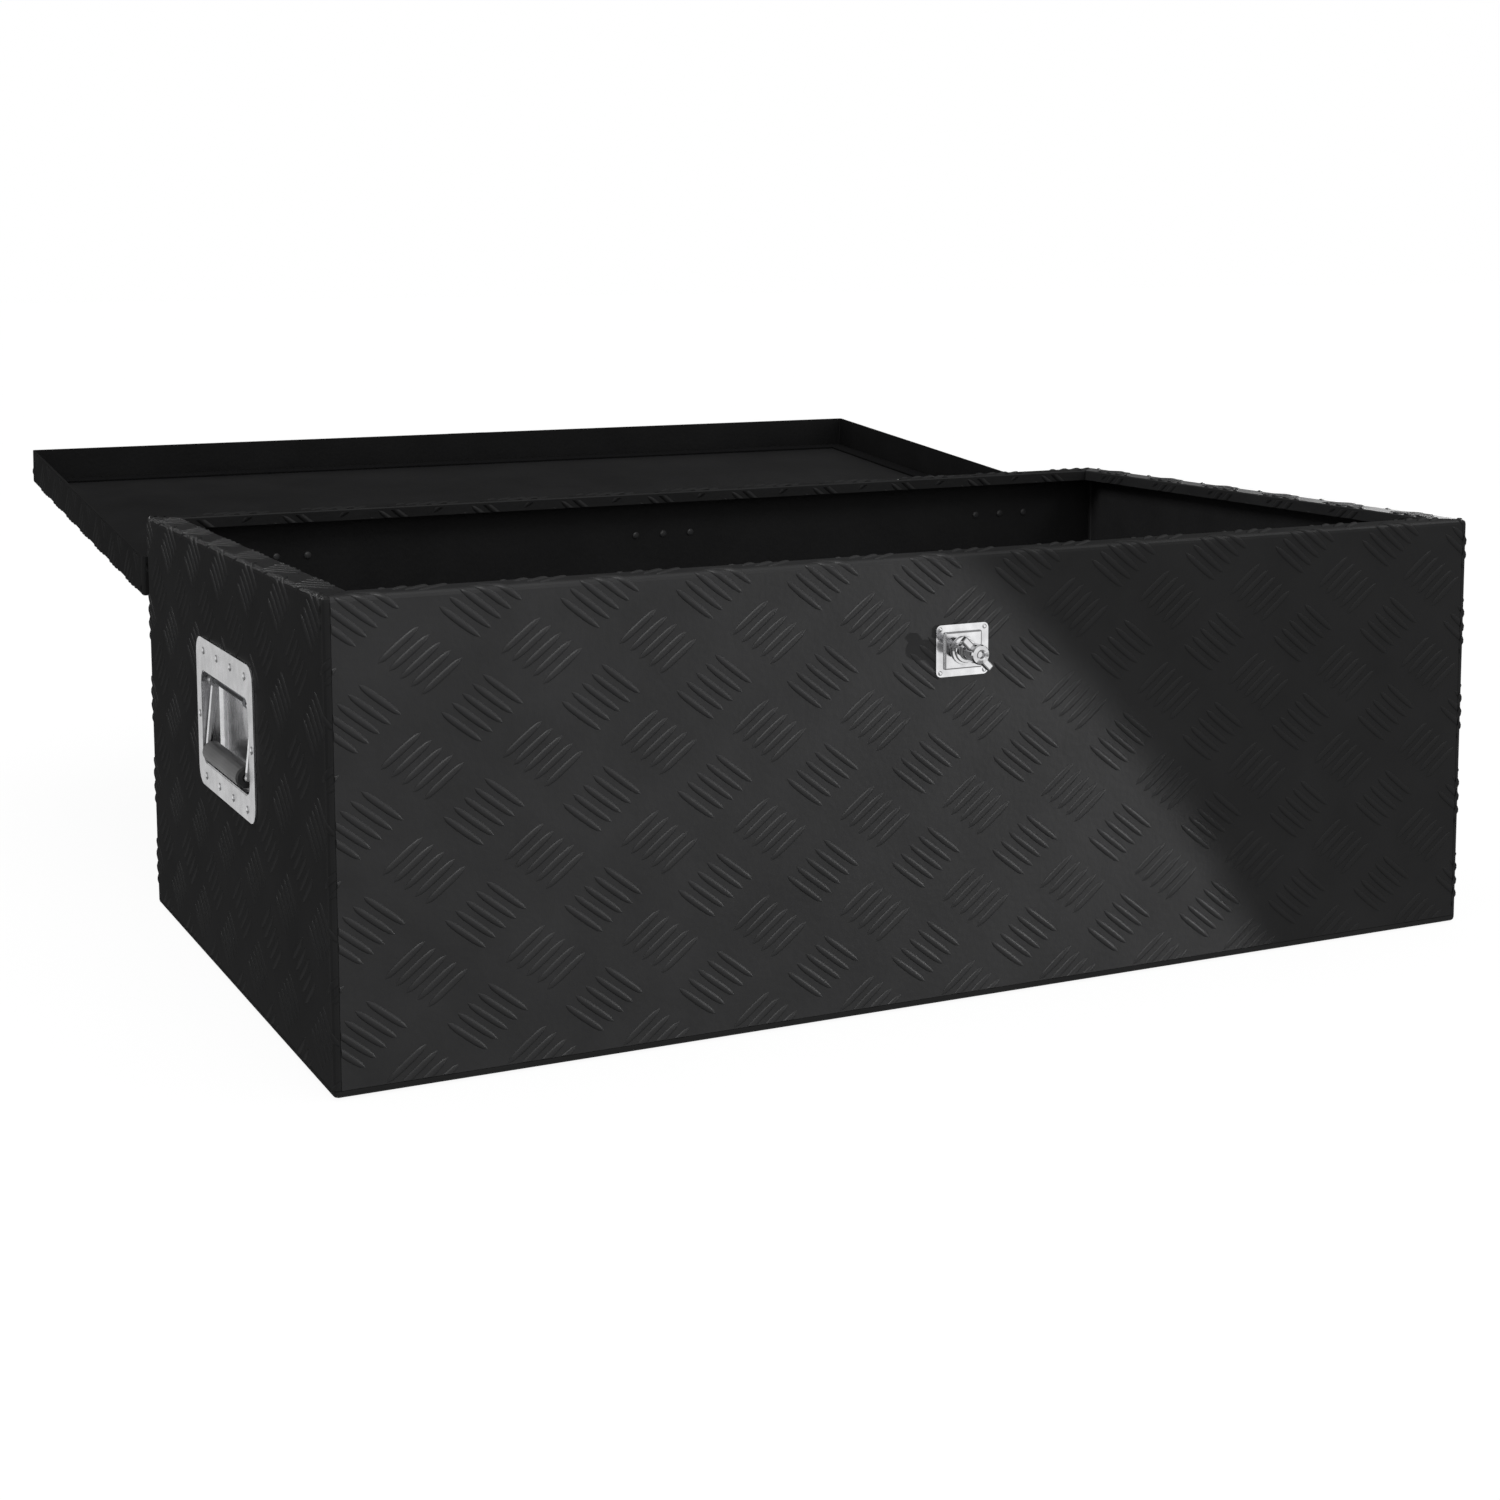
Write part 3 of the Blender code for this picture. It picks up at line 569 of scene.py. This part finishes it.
def wall(origin, along, normal, half, phase, wraps):
    """A box wall that folds in at the rim; wraps adds the folds at both corners."""
    sheet = Sheet(origin, along, (0, 0, 1), normal)
    sheet.fold("+v", RIM_FLAT, BEND)
    sheet.keep(0, -1, -WALL_LOW)
    sheet.keep(0, 1, RIM_END)
    if wraps:
        flat = half - BEND
        sheet.fold("+u", flat, BEND)
        sheet.fold("-u", flat, BEND)
        end = flat + BEND * math.pi / 2 + SEAM - BEND - 0.0005
    else:
        end = half - SEAM - BARE_SEAM
    sheet.keep(1, 0, end)
    sheet.keep(-1, 0, end)
    mitre = half - BEND + RIM_ARC - BARE_SEAM
    sheet.keep(1, 1, mitre)
    sheet.keep(-1, 1, mitre)
    sheet.span = (-end, WALL_LOW, end, RIM_END)
    sheet.phase = phase
    return sheet


def lip(outer, half):
    """The lip that turns down at the inner edge of a wall's rim, with its tread inward."""
    origin = outer.origin - FLANGE * outer.normal + np.array((0, 0, RIM_Z + RIM_RUN))
    sheet = Sheet(origin, outer.along, (0, 0, -1), -outer.normal)
    end = half - FLANGE - 0.0018
    sheet.keep(1, 0, end)
    sheet.keep(-1, 0, end)
    sheet.keep(0, 1, RIM_RUN + LIP - 0.0004)
    sheet.keep(0, -1, -RIM_RUN - 0.0027)
    sheet.span = (-end, RIM_RUN, end, RIM_RUN + LIP)
    sheet.phase = outer.phase
    return sheet


PHASE_FRONT = (-HALF_X + 0.0683, RIM_Z - 0.0483)
front = wall((0, -HALF_Y, 0), (1, 0, 0), (0, -1, 0), HALF_X, PHASE_FRONT, False)
front.holes.append((-0.020, LOCK_Z - 0.017, 0.020, LOCK_Z + 0.017))
rear = wall((0, HALF_Y, 0), (-1, 0, 0), (0, 1, 0), HALF_X, (-0.4720, 0.2830), False)
for x in HINGE_XS:
    rear.holes.append((x - 0.0405, HINGE.z - 0.0255, x + 0.0405, 0.3455))
left = wall((-HALF_X, 0, 0), (0, -1, 0), (-1, 0, 0), HALF_Y, (-0.2350, 0.2950), True)
right = wall((HALF_X, 0, 0), (0, 1, 0), (1, 0, 0), HALF_Y, (-0.2350, 0.2950), True)
for end in (left, right):
    end.holes.append((-0.0865, HANDLE_Z - 0.057, 0.0865, HANDLE_Z + 0.057))

under = Sheet((0, 0, 0), (1, 0, 0), (0, -1, 0), (0, 0, -1))
for su, sv, half in ((1, 0, HALF_X), (-1, 0, HALF_X), (0, 1, HALF_Y), (0, -1, HALF_Y)):
    under.keep(su, sv, half - BARE_UNDER)
under.span = (-HALF_X, -HALF_Y, HALF_X, HALF_Y)
under.phase = (-0.4550, -0.2480)

lid = Sheet((0, 0, LID_TOP), (1, 0, 0), (0, 1, 0), (0, 0, 1))
for axis, half in (("u", LID_HALF_X), ("v", LID_HALF_Y)):
    for mark, sign in (("+", 1), ("-", -1)):
        lid.fold(mark + axis, half - LID_BEND, LID_BEND)
        reach = half - LID_BEND + LID_BEND * math.pi / 2 + LID_SKIRT - LID_BEND - BARE_EDGE
        lid.keep(sign * (axis == "u"), sign * (axis == "v"), reach)
lid.span = (-0.545, -0.325, 0.545, 0.325)
lid.phase = (-0.4610, -0.2520)
SKIRT_V = LID_HALF_Y - LID_BEND + LID_BEND * math.pi / 2
lid.holes.append((-0.0260, -SKIRT_V - 0.0400, 0.0260, -SKIRT_V - 0.0020))
for x in HINGE_XS:
    lid.holes.append((x - 0.0420, SKIRT_V + 0.0020, x + 0.0420, SKIRT_V + 0.0400))

FRONT_BARS = tread_piece("tread_bars_front", [front, lip(front, HALF_X)], "box")
REAR_BARS = tread_piece("tread_bars_rear", [rear, lip(rear, HALF_X)], "box")
LEFT_BARS = tread_piece("tread_bars_left_end", [left, lip(left, HALF_Y)], "box")
RIGHT_BARS = tread_piece("tread_bars_right_end", [right, lip(right, HALF_Y)], "box")
tread_piece("tread_bars_underside", [under], "box")
tread_piece("tread_bars_lid", [lid], "lid", TO_OPEN)


# ======================================================================================
# Foam seal, in the room of its CAD solid
# ======================================================================================
def seal_strip():
    """Rounded foam strip round the inside of the lid, mitred at the corners."""
    top = LID_TOP - SHEET - 0.0002
    thick, wide = 0.0027, 0.018
    out_x, out_y = LID_HALF_X - SHEET - 0.004, LID_HALF_Y - SHEET - 0.004
    section = [(0.0, 0.0), (0.0, -0.55)]
    section += [(0.05, -0.86), (0.16, -1.0), (0.5, -1.04), (0.84, -1.0), (0.95, -0.86)]
    section += [(1.0, -0.55), (1.0, 0.0)]
    bm = bmesh.new()
    rings = []
    corners = ((1, 1), (-1, 1), (-1, -1), (1, -1))
    for index, (sx, sy) in enumerate(corners):
        nx, ny = corners[(index + 1) % 4]
        for step in range(24):
            t = step / 24
            wave = 0.00022 * math.sin(9.0 * t * math.pi + index) * math.sin(t * math.pi)
            ring = []
            for inward, drop in section:
                ax, ay = out_x - wide * inward, out_y - wide * inward
                x = sx * ax + (nx - sx) * ax * t
                y = sy * ay + (ny - sy) * ay * t
                ring.append(bm.verts.new((x, y, top + drop * (thick + wave))))
            rings.append(ring)
    for i, ring in enumerate(rings):
        other = rings[(i + 1) % len(rings)]
        for k in range(len(section)):
            m = (k + 1) % len(section)
            bm.faces.new((ring[k], ring[m], other[m], other[k]))
    bmesh.ops.recalc_face_normals(bm, faces=bm.faces)
    bmesh.ops.transform(bm, matrix=TO_OPEN, verts=bm.verts)
    return bm


seal = piece("lid_seal_strip", seal_strip(), FOAM, "lid")
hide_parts("lid_seal")


# ======================================================================================
# Rivet heads inside the ends, behind the handle plates
# ======================================================================================
def dome(bm, centre, out, radius, height):
    """A domed rivet head with a pressed centre, standing on a face."""
    turn = Vector((0, 0, 1)).rotation_difference(Vector(out)).to_matrix().to_4x4()
    place = Matrix.Translation(centre) @ turn
    steps, sides = 5, 20
    rings = []
    for i in range(steps):
        a = math.pi / 2 * i / steps
        rings.append((radius * math.cos(a), height * (0.25 + 0.75 * math.sin(a))))
    rings.append((radius * 0.22, height * 0.99))
    rings.insert(0, (radius, -0.0004))
    rows = []
    for r, h in rings:
        row = []
        for k in range(sides):
            t = 2 * math.pi * k / sides
            row.append(bm.verts.new(place @ Vector((r * math.cos(t), r * math.sin(t), h))))
        rows.append(row)
    for low, high in zip(rows, rows[1:]):
        for k in range(sides):
            m = (k + 1) % sides
            bm.faces.new((low[k], low[m], high[m], high[k]))
    bm.faces.new(rows[-1])
    bm.faces.new(rows[0][::-1])


def inner_rivets(side):
    bm = bmesh.new()
    top, bottom, edge = 0.0505, -0.0525, 0.0830
    spots = [(u, v) for v in (top, bottom) for u in (-0.066, -0.022, 0.022, 0.066)]
    spots += [(-edge, -0.0035), (edge, -0.0035)]
    for u, v in spots:
        face = side * (HALF_X - SHEET)
        dome(bm, (face, u, HANDLE_Z + v), (-side, 0, 0), 0.0036, 0.0014)
    return bm


for tag, side in (("left", -1), ("right", 1)):
    piece("handle_rivet_tails_" + tag, inner_rivets(side), ZINC, "box")


# ======================================================================================
# Floor, light and camera
# ======================================================================================
def floor():
    mesh = bpy.data.meshes.new("studio_floor")
    bm = bmesh.new()
    place = Matrix.Translation((0, 0, -BAR_HEIGHT - 0.0001))
    bmesh.ops.create_grid(bm, x_segments=1, y_segments=1, size=30.0, matrix=place)
    bm.to_mesh(mesh)
    bm.free()
    obj = bpy.data.objects.new("studio_floor", mesh)
    SCENE.collection.objects.link(obj)
    s = Shader("studio_floor")
    s.surface(
        Base_Color=(0.25, 0.25, 0.25, 1.0),
        Roughness=0.9,
        Specular_IOR_Level=0.0,
        Emission_Color=(1.0, 1.0, 1.0, 1.0),
        Emission_Strength=0.93,
    )
    obj.data.materials.append(s.mat)
    obj.visible_glossy = False
    obj.visible_diffuse = False


floor()


def softbox(name, place, target, size, power):
    data = bpy.data.lights.new(name, "AREA")
    data.shape = "RECTANGLE"
    data.size, data.size_y = size
    data.energy = power
    obj = bpy.data.objects.new(name, data)
    SCENE.collection.objects.link(obj)
    obj.location = place
    aim = Vector(target) - Vector(place)
    obj.rotation_euler = aim.to_track_quat("-Z", "Y").to_euler()
    obj.visible_camera = False
    return obj


def only_on(light, receivers=None, blockers=None):
    """Restricts a light to some objects, and its shadows to some others."""
    for use, objects in (("receiver", receivers), ("blocker", blockers)):
        if objects is None:
            continue
        group = bpy.data.collections.new(f"{light.name}_{use}s")
        for obj in objects:
            group.objects.link(obj)
        setattr(light.light_linking, use + "_collection", group)


def cone_light(name, place, power, radius):
    """A spot whose beam ends on a slanted line across the front face."""
    place = Vector(place)
    first = (Vector(BEAM_EDGE[0]) - place).normalized()
    second = (Vector(BEAM_EDGE[1]) - place).normalized()
    half_gap = math.acos(first.dot(second)) / 2
    lean = math.acos(math.cos(BEAM_HALF_ANGLE) / math.cos(half_gap))
    across = first.cross(second).normalized()
    if across.x > 0:
        across = -across
    axis = (first + second).normalized() * math.cos(lean) + across * math.sin(lean)
    data = bpy.data.lights.new(name, "SPOT")
    data.energy = power
    data.spot_size = 2 * BEAM_HALF_ANGLE
    data.spot_blend = 0.03
    data.shadow_soft_size = radius
    obj = bpy.data.objects.new(name, data)
    SCENE.collection.objects.link(obj)
    obj.location = place
    obj.rotation_euler = axis.to_track_quat("-Z", "Y").to_euler()
    obj.visible_camera = False
    return obj


BEAM_EDGE = ((0.030, -0.28, 0.335), (0.275, -0.28, 0.045))  # where both beams end
BEAM_HALF_ANGLE = math.radians(22)
SHADED = ("handle_pin", "handle_spring")  # plated pieces that stay dark in the dish
BRIGHT = [
    obj
    for name, obj in NODES.items()
    if obj.active_material in (PRESSED, BAIL_STEEL, CHROME, ZINC, GRIP)
    and not name.startswith(SHADED)
]
FRONT = [NODES["front_panel"], FRONT_BARS]
REAR = [NODES["rear_panel"], REAR_BARS]
LEFT_END = [NODES["left_end_panel"], LEFT_BARS]
RIGHT_END = [NODES["right_end_panel"], RIGHT_BARS]
LEAVES = [obj for name, obj in NODES.items() if "_leaf_" in name]
SKIN = [NODES["lid_skin"]]

# name, place, target, size, watts, what it lights, what casts its shadows (None: all)
SOFTBOXES = (
    ("key", (-0.6, -2.4, 3.0), (0, 0, 0.2), (1.8, 1.8), 5.0, None, None),
    ("top", (0.0, 0.1, 3.2), (0, 0.1, 0.2), (2.6, 2.6), 4.0, None, None),
    ("inside", (-2.2, -0.6, 2.0), (0.4, 0.1, 0.2), (1.0, 1.0), 30.0, RIGHT_END, None),
    ("inside_rear", (1.6, -1.6, 2.2), (0.3, 0.27, 0.25), (0.9, 0.9), 7.0, REAR, None),
    ("fill_right", (2.3, 1.3, 1.5), (0.5, 0.0, 0.18), (0.7, 0.7), 32.0, RIGHT_END, None),
    ("fill_rear", (1.3, 2.6, 0.05), (0.0, 0.28, 0.18), (0.7, 0.7), 26.0, REAR, None),
    ("rim", (-0.9, 3.2, 1.9), (-0.5, 0.0, 0.35), (0.6, 0.4), 6.0, LEFT_END, None),
    ("graze_left", (-1.15, 0.7, 1.6), (-0.5, 0.0, 0.2), (0.3, 0.8), 4.0, LEFT_END, None),
    ("inner_heads", (-0.5, -1.2, 1.3), (-0.1, 0.28, 0.3), (0.5, 0.5), 14.0, LEAVES, None),
    ("lid_far", (2.3, 3.4, 0.8), (0.4, 0.6, 0.3), (1.6, 1.0), 1.2, SKIN, None),
    ("graze", (1.4, -0.85, 1.6), (0.4, -0.28, 0.2), (0.8, 0.3), 4.0, FRONT, None),
    ("plated_left", (-0.80, 0.95, 0.08), (-0.5, 0.0, 0.2), (1.3, 1.4), 4.0, BRIGHT, BRIGHT),
    ("plated_side", (-2.40, 0.15, 0.35), (-0.5, 0.0, 0.2), (2.2, 1.6), 11.0, BRIGHT, BRIGHT),
    ("plated_front", (0.62, -1.30, 0.15), (0.1, -0.3, 0.27), (1.5, 1.3), 5.0, BRIGHT, BRIGHT),
    ("plated_sky", (-0.9, -2.6, 2.0), (-0.2, -0.3, 0.25), (3.0, 2.0), 12.0, BRIGHT, BRIGHT),
    ("plated_right", (2.0, 0.2, 0.9), (0.5, 0.0, 0.2), (1.6, 1.4), 6.0, BRIGHT, BRIGHT),
)
for name, place, target, size, power, receivers, blockers in SOFTBOXES:
    only_on(softbox(name, place, target, size, power), receivers, blockers)
only_on(cone_light("beam_high", (-0.9, -2.2, 2.6), 165.0, 0.016), FRONT, FRONT)
only_on(cone_light("beam_low", (2.5, -2.05, 0.12), 104.0, 0.016), FRONT)


def studio_world():
    """White to the camera; to the box a soft grey room with one bright low side in front."""
    world = bpy.data.worlds.new("studio")
    SCENE.world = world
    world.use_nodes = True
    tree = world.node_tree
    tree.nodes.clear()
    way = tree.nodes.new("ShaderNodeTexCoord").outputs["Generated"]

    def math_node(operation, *values):
        made = tree.nodes.new("ShaderNodeMath")
        made.operation = operation
        for socket, value in zip(made.inputs, values):
            if isinstance(value, (int, float)):
                socket.default_value = value
            else:
                tree.links.new(value, socket)
        return made.outputs["Value"]

    def along(direction):
        made = tree.nodes.new("ShaderNodeVectorMath")
        made.operation = "DOT_PRODUCT"
        tree.links.new(way, made.inputs[0])
        made.inputs[1].default_value = Vector(direction).normalized()
        return made.outputs["Value"]

    def ramp(value, low, high, to_low, to_high):
        made = tree.nodes.new("ShaderNodeMapRange")
        made.interpolation_type = "SMOOTHSTEP"
        made.inputs["From Min"].default_value = low
        made.inputs["From Max"].default_value = high
        made.inputs["To Min"].default_value = to_low
        made.inputs["To Max"].default_value = to_high
        tree.links.new(value, made.inputs["Value"])
        return made.outputs["Result"]

    rear = ramp(along((0.12, 1.0, 0.06)), 0.62, 0.90, 0.0, 1.0)
    room = math_node("SUBTRACT", 0.22, math_node("MULTIPLY", rear, 0.215))
    ahead = ramp(along((0.22, -1.0, -0.22)), 0.60, 0.97, 0.0, 0.15)
    overhead = ramp(along((0.0, -0.35, 1.0)), 0.50, 0.95, 0.0, 0.20)
    level = math_node("ADD", math_node("ADD", ahead, overhead), room)
    seen = tree.nodes.new("ShaderNodeLightPath").outputs["Is Camera Ray"]
    mix = tree.nodes.new("ShaderNodeMix")
    tree.links.new(seen, mix.inputs[0])
    tree.links.new(level, mix.inputs[2])
    mix.inputs[3].default_value = 1.0
    back = tree.nodes.new("ShaderNodeBackground")
    back.inputs["Color"].default_value = (1.0, 1.0, 1.0, 1.0)
    tree.links.new(mix.outputs[0], back.inputs["Strength"])
    out = tree.nodes.new("ShaderNodeOutputWorld")
    tree.links.new(back.outputs[0], out.inputs["Surface"])


studio_world()

CAMERA_PLACE = (-0.9326, -1.8170, 0.5777)
CAMERA_ANGLES = (25.019, 6.524, -0.353)  # azimuth, downward tilt and roll, in degrees
CAMERA_LENS = 56.835
CAMERA_SHIFT = (0.03, -0.15)


def camera():
    """A camera from the front left and slightly above."""
    azimuth, elevation, roll = (math.radians(a) for a in CAMERA_ANGLES)
    look = Vector(
        (
            math.sin(azimuth) * math.cos(elevation),
            math.cos(azimuth) * math.cos(elevation),
            -math.sin(elevation),
        )
    )
    right = look.cross(Vector((0, 0, 1))).normalized()
    up = right.cross(look)
    tilted_right = right * math.cos(roll) + up * math.sin(roll)
    tilted_up = up * math.cos(roll) - right * math.sin(roll)
    turn = Matrix((tilted_right, tilted_up, -look)).transposed()
    data = bpy.data.cameras.new("camera")
    data.sensor_width = 36.0
    data.lens = CAMERA_LENS
    data.shift_x, data.shift_y = CAMERA_SHIFT
    data.clip_start = 0.05
    data.clip_end = 200.0
    obj = bpy.data.objects.new("camera", data)
    SCENE.collection.objects.link(obj)
    obj.matrix_world = Matrix.Translation(CAMERA_PLACE) @ turn.to_4x4()
    SCENE.camera = obj


camera()
SCENE.view_settings.view_transform = "Standard"
